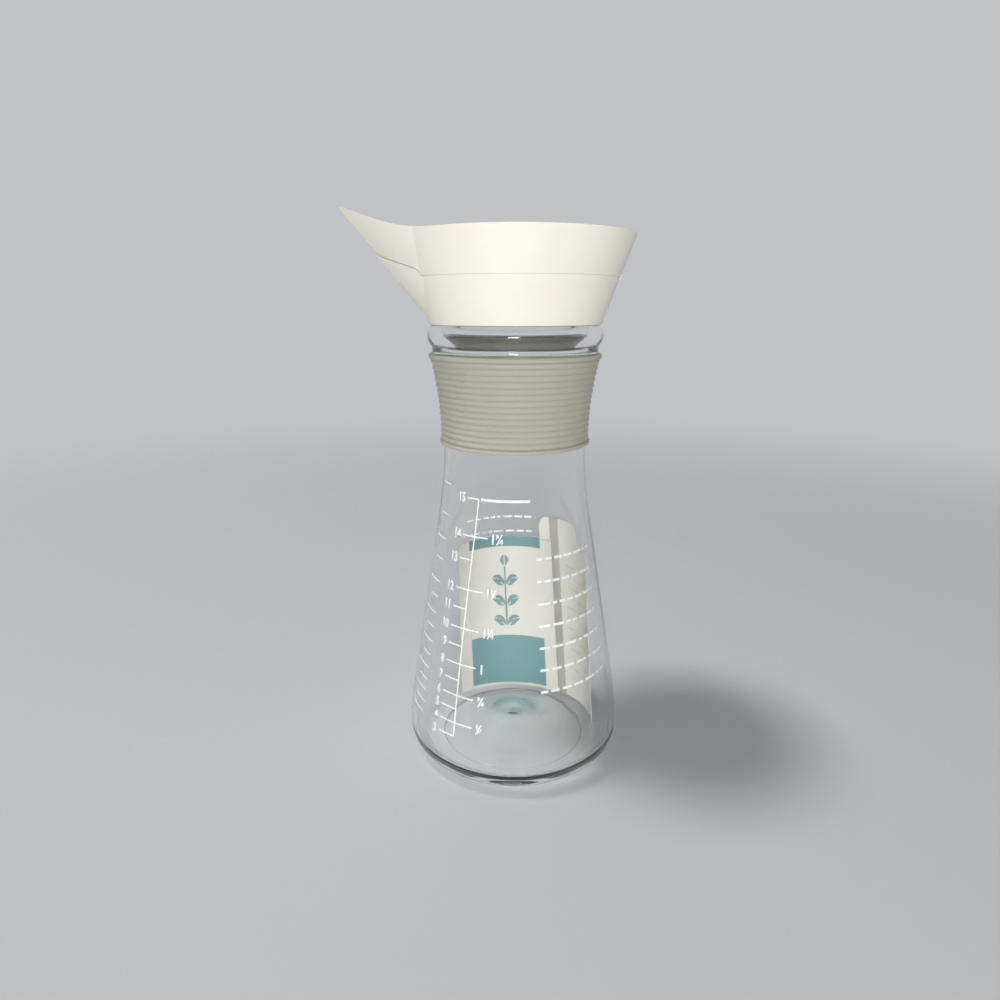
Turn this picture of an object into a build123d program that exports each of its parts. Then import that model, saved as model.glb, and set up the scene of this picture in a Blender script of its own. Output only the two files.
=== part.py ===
"""Salad dressing mixer: a clear shaker bottle with a ribbed grip sleeve and a pouring lid.

The lid is two white mouldings with one flush seam between them. The lower one screws on
the neck and carries the pouring spout. The upper one flips open on a film hinge opposite
the spout, and its long beak nests in the spout and works as the thumb lever. Millimetres,
Z up, origin on the table at the middle of the foot, spout towards -X, hinge at +X.
"""

from build123d import *
from math import acos, atan, atan2, cos, hypot, radians, sin, sqrt, tan
import os

# Clear bottle, outside
foot_r = 34.5            # outer edge of the ring it stands on
heel_r = 11.2            # rounding from the foot up to the body
belly_bend_r = 84.0      # bend from the upright body into the straight side
waist_r = 28.4
waist_z = 138.0
waist_bend_r = 188.0     # bend from the straight side into the waist
flare_r = 32.2           # below the bead
flare_z = 170.4
groove_depth = 2.6       # plain band between the sleeve and the bead
bead_swell = 2.0         # how far the bead stands out
bead_h = 8.0
neck_r = 29.4
neck_h = 9.7

# Clear bottle, inside and under the foot
wall = 2.3
neck_bore_r = 27.4
floor_z = 6.0
punt_r = 27.5            # where the raised middle of the floor starts
punt_rise = 5.2
nub_r = 9.0
nub_h = 1.6
foot_band = 3.5          # width of the ring it stands on
under_rise = 1.4
under_punt_rise = 4.2

# Grip sleeve
sleeve_drop = 2.9        # how far the sleeve reaches below the waist
sleeve_fit = 0.1         # between the sleeve and the bottle
sleeve_skin = 1.2
rib_count = 14
rib_depth = 0.5
inner_steps = 3          # straight stretches of the sleeve's inner face
lip_band = 1.5
bottom_lip = 1.8
top_bead = 1.6

# White lid, outside
collar_gap = 0.2         # between the bead and the lid
collar_r = 33.3          # lower edge of the cone
seam_rise = 17.0         # lower edge to seam
lid_h = 15.1             # seam to rim
cone_lean = 20.3         # degrees from upright
seam_gap = 0.2

# Spout and beak, seen from the side
keel_start = 2.8         # height above the lid's lower edge where the keel leaves the cone
keel_lean = 40.6         # degrees from upright
keel_start_gap = 0.8     # the spout's outline is drawn from this far above that point
crease_low = 1.10        # crease angle over the angle of a tangent from the keel, where it leaves
crease_high = 0.93       # and at the top of the drawn spout
flank_bow = 1.6          # how far a flank bows out
bow_full_l = 30.0        # a shorter flank bows out by less
keel_round_low = 8.0
keel_round_high = 3.0
flank_root = 3.0         # how far the spout's outline reaches inside the cone
spout_lip_h = 8.5        # tip of the spout above the seam
lip_slope = 19.0         # degrees
lip_end_rise = 2.3       # above the seam where the lip turns down beside the crease
lip_end_slope = 42.0     # degrees
lip_bend_r = 5.0
beak_step = 1.0          # the beak lies this far inside the spout's outer face
beak_slope = 20.8        # degrees, upper edge of the beak
beak_bend_r = 65.0       # bend from the level rim to the beak
beak_bend_x = 26.9       # where the rim starts to rise
beak_tip_r = 0.8
trim_gap = 0.02          # the tip's rounding clears the rest of the keel
blank_rise = 14.0        # the lid's solids are drawn this far above the rim, and then trimmed

# White lid, walls
collar_wall = 1.35
spout_wall = 1.4
nest_gap = 0.35          # between the spout and the beak that lies in it
deck_t = 1.5
deck_drop = 4.7          # deck's upper face below the seam
skirt_wall = 1.1
skirt_gap = 0.8          # room for the thread between the neck and the skirt
skirt_lift = 0.8
lid_wall = 1.6
rim_reach = 1.3          # locating rim inside the seam, below it
rim_t = 1.0
rim_gap = 0.35           # between that rim and the lower moulding
dish_depth = 2.0
lid_plate_t = 1.6
beak_wall = 2.25

# Pour opening, its plug and the seals
pour_x = 18.0
pour_r = 8.6
plug_gap = 0.6
plug_wall = 1.5
plug_reach = 1.0         # plug's end below the deck
seal_t = 1.5
seal_w = 3.2
flange_t = 1.0
gasket_w = 2.6
gasket_lip = 0.4
seat_gap = 0.05

# Film hinge
hinge_half_w = 6.0
hinge_web_h = 1.0
hinge_web_t = 0.45
hinge_proud = 0.15
web_gap = 0.02

# Leaflet that stands in the bottle: where each page starts, bends and ends, as the angle from
# the hinge side in degrees and the share of the reach that the floor leaves it
paper_t = 0.35
fold_at = (47.0, 0.94)
cover_curl = ((140.0, 0.88), (92.0, 0.79), fold_at)
back_curl = (fold_at, (24.3, 0.945), (-5.4, 1.0))
cover_facets = 5
back_facets = 3
cover_h = 77.0
back_h = 88.0
page_clear = 2.2         # between the leaflet and the floor's edge
page_top_clear = 0.6     # between its upper edge and the wall

# Heights that follow
groove_z = flare_z + groove_depth
bead_z = groove_z + bead_h
neck_z = bead_z + neck_h
body_r = foot_r + heel_r
inner_heel_r = heel_r - floor_z
collar_z = bead_z + collar_gap
seam_z = collar_z + seam_rise
rim_z = seam_z + lid_h
deck_z = seam_z - deck_drop
keel_z = collar_z + keel_start
blank_top_z = rim_z + blank_rise
far = 90.0               # clears the lid on every side


def turned(edges):
    """Solid of revolution about the bottle's axis from a closed outline of edges."""
    return revolve(Plane.XZ * make_face(edges), Axis.Z)


def slab(outline, half_width=far):
    """Side-view outline (x, z) carried across the lid on both sides."""
    return extrude(Plane.XZ * make_face(outline), amount=half_width, both=True)


def tube(outer_r, inner_r, z_low, z_high, x=0.0):
    """Upright ring, or a plain disc where the inner radius is zero."""
    ring = Circle(outer_r)
    if inner_r > 0:
        ring = ring - Circle(inner_r)
    return Pos(x, 0, z_low) * extrude(ring, z_high - z_low)


def flare_radius(z):
    """Outside radius of the bottle between the waist and the bead."""
    rise = flare_z - waist_z
    growth = flare_r - waist_r
    bend = (rise ** 2 + growth ** 2) / (2 * growth)
    return waist_r + bend - sqrt(bend ** 2 - max(z - waist_z, 0.0) ** 2)


def side_lean():
    """Angle from upright of the straight side, which touches the belly's and the waist's bends."""
    across = waist_r + waist_bend_r - body_r + belly_bend_r
    up = waist_z - heel_r
    return atan2(up, across) - acos((belly_bend_r + waist_bend_r) / hypot(across, up))


def side(inset=0.0):
    """The bottle's side from heel to waist, moved in by a wall: bend, straight side, bend."""
    lean = side_lean()
    belly_r = belly_bend_r - inset
    waist_bend = waist_bend_r + inset
    low = (body_r - inset - belly_r * (1 - cos(lean)), heel_r + belly_r * sin(lean))
    high = (waist_r - inset + waist_bend * (1 - cos(lean)), waist_z - waist_bend * sin(lean))
    belly = TangentArc((body_r - inset, heel_r), low, tangent=(0, 1))
    waist = TangentArc(high, (waist_r - inset, waist_z), tangent=(-sin(lean), cos(lean)))
    return [belly, Line(low, high), waist]


def inner_radius(z):
    """Inside radius of the bottle at a height on its straight side."""
    lean = side_lean()
    low_r = body_r - belly_bend_r * (1 - cos(lean))
    low_z = heel_r + belly_bend_r * sin(lean)
    return low_r - (z - low_z) * tan(lean) - wall / cos(lean)


def bottle():
    """Blown clear bottle: foot ring, full belly, slim waist, bead and plain neck."""
    foot_in = foot_r - foot_band
    inner_waist = waist_r - wall
    inner_flare = flare_r - wall
    floor_end = body_r - wall - inner_heel_r
    crown_z = floor_z + punt_rise
    under_edge = foot_in - under_rise
    under_z = under_rise + under_punt_rise
    outside = [JernArc((foot_r, 0), (1, 0), heel_r, 90), *side(),
               TangentArc((waist_r, waist_z), (flare_r, flare_z), tangent=(0, 1)),
               Line((flare_r, flare_z), (flare_r, groove_z)),
               ThreePointArc((flare_r, groove_z), (flare_r + bead_swell, groove_z + bead_h / 2),
                             (flare_r, bead_z))]
    neck = Polyline((flare_r, bead_z), (neck_r, bead_z), (neck_r, neck_z), (neck_bore_r, neck_z),
                    (neck_bore_r, bead_z), (inner_flare, groove_z), (inner_flare, flare_z))
    inside = [TangentArc((inner_waist, waist_z), (inner_flare, flare_z), tangent=(0, 1)),
              *side(wall),
              JernArc((floor_end, floor_z), (1, 0), inner_heel_r, 90),
              Line((floor_end, floor_z), (punt_r, floor_z)),
              TangentArc((punt_r, floor_z), (nub_r, crown_z), tangent=(-1, 0)),
              TangentArc((0, crown_z + nub_h), (nub_r, crown_z), tangent=(1, 0))]
    under = [Line((0, crown_z + nub_h), (0, under_z)),
             TangentArc((0, under_z), (under_edge, under_rise), tangent=(1, 0)),
             Polyline((under_edge, under_rise), (foot_in, 0), (foot_r, 0))]
    return turned([*outside, neck, *inside, *under])


def grip_sleeve():
    """Stretchy sleeve round the waist, with a rib at every step and a thicker lip at each end."""
    low = waist_z - sleeve_drop
    high = flare_z - seat_gap
    first = low + lip_band
    last = high - lip_band
    pitch = (last - first) / rib_count
    outer = [(waist_r + bottom_lip, low), (waist_r + bottom_lip, first)]
    for rib in range(rib_count):
        valley_z = first + rib * pitch
        crest_z = valley_z + pitch / 2
        outer.append((flare_radius(valley_z) + sleeve_skin - rib_depth, valley_z))
        outer.append((flare_radius(crest_z) + sleeve_skin, crest_z))
    outer.append((flare_radius(last) + top_bead, last))
    outer.append((flare_radius(last) + top_bead, high))
    step = (high - waist_z) / inner_steps
    stretched = [waist_z + index * step for index in range(inner_steps + 1)]
    inner = [(flare_radius(z) + sleeve_fit, z) for z in reversed([low, *stretched])]
    return turned(Polyline(*outer, *inner, close=True))


def curl(points, facets, reach):
    """Plan points of one page along the arc through three (angle, share of the reach) points."""
    ends = [Vector(reach * share * cos(radians(turn)), reach * share * sin(radians(turn)))
            for turn, share in points]
    arc = ThreePointArc(*ends)
    return [arc @ (index / facets) for index in range(facets + 1)]


def recipe_leaflet():
    """Folded leaflet that stands open on the floor and leans in with the tapering wall."""
    reach = body_r - wall - inner_heel_r - page_clear
    top_reach = inner_radius(floor_z + back_h) - page_top_clear
    outlines = []
    for z, radius in ((floor_z, reach), (floor_z + back_h, top_reach)):
        outer = curl(cover_curl, cover_facets, radius) + curl(back_curl, back_facets, radius)[1:]
        inner = [point * (1 - paper_t / point.length) for point in reversed(outer)]
        outlines.append(Pos(0, 0, z) * make_face(Polyline(*outer, *inner, close=True)))
    fold = radians(fold_at[0])
    cover_side = Plane(origin=(0, 0, floor_z + cover_h), x_dir=(sin(fold), -cos(fold), 0), z_dir=(0, 0, 1))
    above_cover = cover_side * (Pos(-far / 2, 0, far / 2) * Box(far, 2 * far, far))
    return loft(outlines, ruled=True) - above_cover


def cone_radius(z):
    """Outside radius of the lid's cone."""
    return collar_r + (z - collar_z) * tan(radians(cone_lean))


def keel_reach(z):
    """Distance of the spout's keel from the axis."""
    return cone_radius(keel_z) + (z - keel_z) * tan(radians(keel_lean))


def cone(z_low, z_high, inset=0.0):
    """Solid cone of the lid, with its side moved in by a wall."""
    side = inset / cos(radians(cone_lean))
    lower = (cone_radius(z_low) - side, z_low)
    upper = (cone_radius(z_high) - side, z_high)
    return turned(Polyline((0, z_low), lower, upper, (0, z_high), close=True))


def spout_outline(z, cone_inset, keel_inset):
    """Plan outline of the spout at one height: two bowed flanks that meet in a rounded keel."""
    radius = cone_radius(z) - cone_inset / cos(radians(cone_lean))
    reach = keel_reach(z) - keel_inset / cos(radians(keel_lean))
    share = (z - keel_z) / (blank_top_z - keel_z)
    half = (crease_low + share * (crease_high - crease_low)) * acos(radius / reach)
    rounding = keel_round_low + share * (keel_round_high - keel_round_low) - keel_inset
    crease = Vector(-radius * cos(half), radius * sin(half))
    flank = atan(crease.Y / (reach + crease.X))
    length = hypot(reach + crease.X, crease.Y)
    bow = flank_bow * min(1.0, length / bow_full_l)
    nose_lean = flank + 2 * atan(2 * bow / length)
    nose = Vector(-reach - rounding * (1 / sin(nose_lean) - 1), 0)
    middle = (nose + crease) * 0.5 + Vector(-sin(flank), cos(flank)) * bow
    mirrored = [Vector(point.X, -point.Y) for point in (crease, middle)]
    root = Vector(flank_root, 0)
    face = make_face([ThreePointArc(nose, middle, crease),
                      Polyline(crease, crease + root, mirrored[0] + root, mirrored[0]),
                      ThreePointArc(mirrored[0], mirrored[1], nose)])
    tip = face.vertices().sort_by(Axis.X)[0]
    return Pos(0, 0, z) * fillet(tip, max(rounding, beak_tip_r))


def spout(cone_inset=0.0, keel_inset=0.0):
    """Solid spout from where the keel leaves the cone to above the beak."""
    spread = tan(radians(keel_lean)) - tan(radians(cone_lean))
    delay = (keel_inset / cos(radians(keel_lean)) - cone_inset / cos(radians(cone_lean))) / spread
    start = keel_z + delay + keel_start_gap
    heights = [start, (start + seam_z) / 2, seam_z, rim_z, blank_top_z]
    return loft([spout_outline(z, cone_inset, keel_inset) for z in heights])


def above_lip(rise=0.0):
    """Everything above the sloping edge of the lower spout, which turns down beside the crease."""
    tip_z = seam_z + spout_lip_h
    tip_x = -keel_reach(tip_z)
    fall = tan(radians(lip_slope))
    end_fall = tan(radians(lip_end_slope))
    bend_x = tip_x + (spout_lip_h - lip_end_rise) / fall
    bend_z = seam_z + lip_end_rise + rise
    left = bend_z + (far + bend_x) * fall
    right = bend_z - (far - bend_x) * end_fall
    roof = blank_top_z + far
    edge = Polyline((-far, left), (bend_x, bend_z), (far, right), (far, roof), (-far, roof), close=True)
    face = make_face(edge)
    bend = face.vertices().sort_by_distance((bend_x, bend_z, 0))[0]
    return extrude(Plane.XZ * fillet(bend, lip_bend_r), amount=far, both=True)


def rim_line(drop):
    """Side view of the rim: level, then bending up into the beak, lowered by a drop."""
    level = rim_z - drop
    return [Line((far, level), (-beak_bend_x, level)),
            JernArc((-beak_bend_x, level), (-1, 0), beak_bend_r, -beak_slope)]


def above_rim(drop):
    """Everything above the rim line lowered by a drop."""
    line = rim_line(drop)
    end = line[1] @ 1
    tip_z = end.Y + (end.X + far) * tan(radians(beak_slope))
    roof = tip_z + far
    return slab(line + [Polyline(end, (-far, tip_z), (-far, roof), (far, roof), (far, rim_z - drop))])


def below_rim():
    """Everything below the rim and behind the beak's keel, with the beak's tip rounded."""
    line = rim_line(0.0)
    end = line[1] @ 1
    climb = tan(radians(beak_slope))
    lean = tan(radians(keel_lean))
    keel_low = -keel_reach(seam_z) + beak_step / cos(radians(keel_lean)) - trim_gap
    tip_z = (end.Y + (end.X - keel_low - seam_z * lean) * climb) / (1 - lean * climb)
    tip = (keel_low - (tip_z - seam_z) * lean, tip_z)
    floor = seam_z - far
    heel = (keel_low - (floor - seam_z) * lean, floor)
    face = make_face(line + [Polyline(end, tip, heel, (far, floor), (far, rim_z))])
    corner = face.vertices().sort_by(Axis.X)[0]
    return extrude(Plane.XZ * fillet(corner, beak_tip_r), amount=far, both=True)


def hinge_web(z_low, z_high):
    """Stretch of the film hinge on one side of the seam, flush with the cone."""
    ring = cone(z_low, z_high, -hinge_proud) - cone(z_low - far, z_high + far, hinge_web_t)
    reach = 2 * far
    return ring & Pos(reach / 2, 0, seam_z) * Box(reach, 2 * hinge_half_w, reach)


def locating_rim(low):
    """Rim inside the seam that keeps the closed lid central, open towards the spout."""
    inset = collar_wall + rim_gap
    root = low + lid_wall
    ring = cone(low - rim_reach, root, inset) + cone(low, root, lid_wall / 2)
    return ring - cone(low - far, root + far, inset + rim_t) - spout()


def spout_collar():
    """Lower moulding: threaded skirt, deck with the pour opening, cone wall and spout."""
    top = seam_z - seam_gap / 2
    lid_clear = cone(top, blank_top_z, -seam_gap)
    body = cone(collar_z, top)
    nose = spout() - above_lip() - lid_clear
    hollow = cone(collar_z, blank_top_z, collar_wall) + spout(collar_wall, spout_wall)
    deck_low = deck_z - deck_t
    deck = Pos(0, 0, (deck_z + deck_low) / 2) * Box(2 * far, 2 * far, deck_t)
    neck_side = neck_r + skirt_gap
    skirt = tube(neck_side + skirt_wall, neck_side, collar_z + skirt_lift, deck_z - deck_t / 2)
    opening = tube(pour_r, 0, deck_low - deck_t, deck_z + deck_t, -pour_x)
    web = hinge_web(seam_z - hinge_web_h, seam_z - web_gap)
    return body + nose - (hollow - deck) + skirt - opening + web


def flip_lid():
    """Upper moulding: cone wall, dished top, beak and the hollow plug for the pour opening."""
    low = seam_z + seam_gap / 2
    nested = spout(collar_wall + nest_gap, spout_wall + nest_gap)
    beak = spout(0.0, beak_step) & above_lip(seam_gap)
    below_seam = Pos(0, 0, low - far) * Box(2 * far, 2 * far, 2 * far)
    body = cone(low, blank_top_z) + nested + beak
    body = (body - below_seam) & below_rim()
    dish = cone(low, blank_top_z, lid_wall) + spout(lid_wall, beak_step + lid_wall)
    dish = dish & above_rim(dish_depth)
    hollow = cone(low, blank_top_z, lid_wall) + spout(lid_wall, beak_step + beak_wall)
    hollow = hollow - above_rim(dish_depth + lid_plate_t) - below_seam
    plug_r = pour_r - plug_gap
    plug_in = plug_r - plug_wall
    plate_z = rim_z - dish_depth - lid_plate_t / 2
    plug = tube(plug_r, plug_in, deck_z - deck_t - plug_reach, plate_z, -pour_x)
    flange_z = deck_z + seat_gap + seal_t
    flange = tube(plug_r + seal_w, plug_in, flange_z, flange_z + flange_t, -pour_x)
    web = hinge_web(seam_z + web_gap, seam_z + hinge_web_h)
    return body - dish - hollow + locating_rim(low) + plug + flange + web


def plug_seal():
    """Soft ring under the plug's flange that closes on the deck."""
    plug_r = pour_r - plug_gap
    low = deck_z + seat_gap
    return tube(plug_r + seal_w, plug_r + seat_gap, low, low + seal_t - seat_gap / 2, -pour_x)


def neck_gasket():
    """Soft ring between the bottle's rim and the deck."""
    return tube(neck_r + gasket_lip, neck_r + gasket_lip - gasket_w, neck_z + seat_gap,
                deck_z - deck_t - seat_gap)


def export(name, shape):
    """Write one piece and say how large it is."""
    export_step(shape, f"parts/{name}.step")
    box = shape.bounding_box()
    print(f"{name}: {shape.volume / 1000:.2f} cm3, {len(shape.solids())} solids, "
          f"x {box.min.X:.1f}..{box.max.X:.1f}, z {box.min.Z:.1f}..{box.max.Z:.1f}")


os.makedirs("parts", exist_ok=True)
for name, shape in (("bottle", bottle()), ("grip_sleeve", grip_sleeve()),
                    ("recipe_leaflet", recipe_leaflet()), ("neck_gasket", neck_gasket()),
                    ("spout_collar", spout_collar()), ("flip_lid", flip_lid()),
                    ("plug_seal", plug_seal())):
    export(name, shape)
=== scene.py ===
"""Studio scene of a salad dressing mixer, built around its fixed CAD frame.

A clear shaker bottle with a printed volume scale, a ribbed grip sleeve, a folded leaflet inside
and a white pouring lid. Metres, Z up, origin under the middle of the foot, spout towards -X.
"""

import logging
import math
from dataclasses import dataclass, field
from enum import Enum
from typing import Callable, Optional, Sequence, Union

import bpy
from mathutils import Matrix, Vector


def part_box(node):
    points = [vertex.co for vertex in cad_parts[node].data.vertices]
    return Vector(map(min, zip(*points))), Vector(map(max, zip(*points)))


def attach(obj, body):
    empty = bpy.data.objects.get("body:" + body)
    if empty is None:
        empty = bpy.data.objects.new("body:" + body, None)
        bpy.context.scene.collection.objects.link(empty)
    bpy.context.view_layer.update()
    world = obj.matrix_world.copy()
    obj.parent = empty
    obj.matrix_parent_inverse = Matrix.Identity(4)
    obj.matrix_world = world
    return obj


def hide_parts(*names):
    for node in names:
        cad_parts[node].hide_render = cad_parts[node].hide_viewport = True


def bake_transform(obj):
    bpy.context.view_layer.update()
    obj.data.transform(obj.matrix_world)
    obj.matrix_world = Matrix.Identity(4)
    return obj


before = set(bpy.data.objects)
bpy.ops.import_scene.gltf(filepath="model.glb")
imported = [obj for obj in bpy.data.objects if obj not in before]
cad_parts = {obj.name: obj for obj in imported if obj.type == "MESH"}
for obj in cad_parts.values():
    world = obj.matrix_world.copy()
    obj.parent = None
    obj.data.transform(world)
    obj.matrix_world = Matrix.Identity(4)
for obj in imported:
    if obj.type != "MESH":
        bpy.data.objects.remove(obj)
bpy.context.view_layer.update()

log = logging.getLogger("dressing_mixer")
Point = tuple[float, float]
Span = tuple[float, float]
Colour = tuple[float, float, float]
Term = Union["Value", float]
CONE_LEAN = math.radians(20.3)


def linear(red: int, green: int, blue: int) -> Colour:
    """Turn a display colour of 0 to 255 into the linear colour that a shader takes."""
    def straighten(level: float) -> float:
        """Undo the display curve for one channel."""
        return level / 12.92 if level <= 0.04045 else ((level + 0.055) / 1.055) ** 2.4
    return tuple(straighten(level / 255) for level in (red, green, blue))


class Body(Enum):
    """Bodies of the frame that pieces ride on."""

    BOTTLE = "bottle"
    COLLAR = "collar"
    LID = "lid"


class Slot(Enum):
    """Material slots of the frame's record."""

    CLEAR = "clear_plastic"
    GRIP = "grey_silicone"
    WHITE = "white_plastic"
    PAPER = "paper"


def math_method(operation: str) -> Callable[..., "Value"]:
    """Method of Value that adds one Math node, which takes the value first."""
    def method(value: "Value", *others: Term) -> "Value":
        """Add the node with its further inputs and wrap its result."""
        node = value.tree.node("ShaderNodeMath", {"operation": operation}, dict(enumerate((value, *others))))
        return Value(value.tree, node.outputs[0])
    return method


class Value:
    """A number that varies over a surface; its arithmetic adds Math nodes.

    A comparison gives one where it holds and zero elsewhere, and a remainder is never negative.
    """

    def __init__(self, tree: "ShaderTree", socket: bpy.types.NodeSocket) -> None:
        """Wrap one output socket of a tree."""
        self.tree = tree
        self.socket = socket

    __add__ = math_method("ADD")
    __sub__ = math_method("SUBTRACT")
    __mul__ = math_method("MULTIPLY")
    __truediv__ = math_method("DIVIDE")
    __mod__ = math_method("FLOORED_MODULO")
    __gt__ = math_method("GREATER_THAN")
    __lt__ = math_method("LESS_THAN")
    absolute = math_method("ABSOLUTE")

    def distance(self, centre: float) -> "Value":
        """How far the value is from a centre."""
        return (self - centre).absolute()

    def within(self, low: float, high: float) -> "Value":
        """One between two limits, zero elsewhere."""
        return (self > low) * (self < high)

    def between(self, low: float, high: float) -> "Value":
        """Stretch a value of 0 to 1 between two limits."""
        return self * (high - low) + low

    def ramp(self, low: float, high: float) -> "Value":
        """Smooth step from zero at a low limit to one at a high limit."""
        node = self.tree.node("ShaderNodeMapRange", {"interpolation_type": "SMOOTHSTEP"},
                              {"Value": self, "From Min": low, "From Max": high})
        return Value(self.tree, node.outputs[0])


class ShaderTree:
    """Nodes of one material, or of the world."""

    def __init__(self, owner: Union[bpy.types.Material, bpy.types.World], output: str) -> None:
        """Clear a new owner's nodes and add its output node."""
        self.owner = owner
        self.owner.use_nodes = True
        self.tree = owner.node_tree
        self.tree.nodes.clear()
        self.output = self.node(output)

    @classmethod
    def material(cls, name: str) -> "ShaderTree":
        """Start a material."""
        return cls(bpy.data.materials.new(name), "ShaderNodeOutputMaterial")

    @classmethod
    def world(cls, name: str) -> "ShaderTree":
        """Start the world's light."""
        return cls(bpy.data.worlds.new(name), "ShaderNodeOutputWorld")

    def node(self, kind: str, settings: Optional[dict] = None,
             inputs: Optional[dict] = None) -> bpy.types.Node:
        """Add a node.

        Args:
            kind: Blender's type name of the node.
            settings: Its attributes, set before its sockets.
            inputs: Values or links of its input sockets, by name or number.

        Returns:
            The node.
        """
        made = self.tree.nodes.new(kind)
        for name, setting in (settings or {}).items():
            setattr(made, name, setting)
        for key, given in (inputs or {}).items():
            self.feed(made.inputs[key], given)
        return made

    def feed(self, socket: bpy.types.NodeSocket, given: object) -> None:
        """Link a socket to a value, a node or a socket, or set a plain number or colour on it."""
        if isinstance(given, Value):
            given = given.socket
        elif isinstance(given, bpy.types.Node):
            given = given.outputs[0]
        if isinstance(given, bpy.types.NodeSocket):
            self.tree.links.new(given, socket)
        elif socket.type == "RGBA":
            socket.default_value = (*given, 1.0)
        else:
            socket.default_value = given

    def place(self) -> bpy.types.NodeSocket:
        """Position on the object, in metres."""
        return self.node("ShaderNodeTexCoord").outputs["Object"]

    def split(self, vector: bpy.types.NodeSocket) -> tuple[Value, Value, Value]:
        """The three parts of a position."""
        parts = self.node("ShaderNodeSeparateXYZ", inputs={0: vector})
        return tuple(Value(self, socket) for socket in parts.outputs)

    def noise(self, size: float, detail: float = 2.0, stretch: Sequence[float] = (1, 1, 1)) -> Value:
        """Random pattern about 0.5, from its features' size, its finer layers and its stretch."""
        turned = self.node("ShaderNodeMapping", {"vector_type": "POINT"},
                           {"Vector": self.place(), "Scale": tuple(1 / (size * s) for s in stretch)})
        made = self.node("ShaderNodeTexNoise", inputs={"Vector": turned, "Scale": 1.0, "Detail": detail})
        return Value(self, made.outputs[0])

    def blend(self, share: Value, first: object, second: object) -> bpy.types.NodeSocket:
        """Mix two colours or sockets, from the first at a share of zero to the second at one."""
        mixed = self.node("ShaderNodeMix", {"data_type": "RGBA"}, {0: share, 6: first, 7: second})
        return mixed.outputs[2]

    def mix(self, share: object, first: bpy.types.Node, second: bpy.types.Node) -> bpy.types.Node:
        """Mix two shaders."""
        return self.node("ShaderNodeMixShader", inputs={0: share, 1: first, 2: second})

    def bump(self, height: Value, depth: float) -> bpy.types.NodeSocket:
        """Relief from a pattern of 0 to 1 and its depth in metres."""
        made = self.node("ShaderNodeBump", inputs={"Height": height, "Distance": depth, "Strength": 1.0})
        return made.outputs[0]

    def surface(self, **inputs: object) -> bpy.types.Node:
        """Principled shader with its sockets set by name, underscores for blanks."""
        named = {name.replace("_", " "): given for name, given in inputs.items()}
        return self.node("ShaderNodeBsdfPrincipled", inputs=named)

    def seen(self) -> Value:
        """One for rays that show a surface, straight or in gloss and glass, zero for its light."""
        path = self.node("ShaderNodeLightPath")
        camera, gloss, glass, bounces = (Value(self, path.outputs[name]) for name in (
            "Is Camera Ray", "Is Glossy Ray", "Is Transmission Ray", "Diffuse Depth"))
        return (camera + gloss + glass > 0.5) * (bounces < 0.5)

    def finish(self, shader: bpy.types.Node) -> Union[bpy.types.Material, bpy.types.World]:
        """Connect the last shader and give the material or world back."""
        self.feed(self.output.inputs["Surface"], shader)
        return self.owner


@dataclass(frozen=True)
class ClearPlastic:
    """Clear, slightly grey copolyester with faint flow streaks."""

    tint: Colour = (0.985, 0.99, 0.985)
    shadow: Colour = (0.66, 0.67, 0.67)
    rough: Span = (0.02, 0.04)
    index: float = 1.5
    streak_size: float = 0.012
    streak_stretch: tuple[int, int, int] = (1, 1, 5)
    streak_depth: float = 0.00005

    def build(self) -> bpy.types.Material:
        """Make the material; lamps reach through it to the leaflet inside."""
        tree = ShaderTree.material("clear_copolyester")
        streaks = tree.noise(self.streak_size, detail=1.0, stretch=self.streak_stretch)
        glass = tree.surface(Base_Color=self.tint, Roughness=streaks.between(*self.rough), IOR=self.index,
                             Transmission_Weight=1.0, Normal=tree.bump(streaks, self.streak_depth))
        film = tree.node("ShaderNodeBsdfTransparent", inputs={"Color": self.shadow})
        path = tree.node("ShaderNodeLightPath")
        return tree.finish(tree.mix(path.outputs["Is Shadow Ray"], glass, film))


@dataclass(frozen=True)
class Finish:
    """Opaque finish of two close colours in soft patches, rougher where its pattern is high.

    The pattern has a size and finer layers, its edge is where patches begin and are full, wear adds
    larger patches (size and share) and the relief has a size and a depth.
    """

    name: str
    colour: Colour
    shade: Colour
    pattern: Point
    edge: Span
    rough: Span
    settings: dict[str, float]
    wear: Optional[Point] = None
    relief: Optional[Point] = None

    def build(self) -> bpy.types.Material:
        """Make the material."""
        tree = ShaderTree.material(self.name)
        pattern = tree.noise(*self.pattern)
        share = pattern.ramp(*self.edge)
        sockets = dict(self.settings)
        if self.wear:
            size, part = self.wear
            share = share * (1 - part) + tree.noise(size, detail=3.0) * part
        if self.relief:
            size, depth = self.relief
            sockets["Normal"] = tree.bump(tree.noise(size), depth)
        return tree.finish(tree.surface(Base_Color=tree.blend(share, self.colour, self.shade),
                                        Roughness=pattern.between(*self.rough), **sockets))


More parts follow.
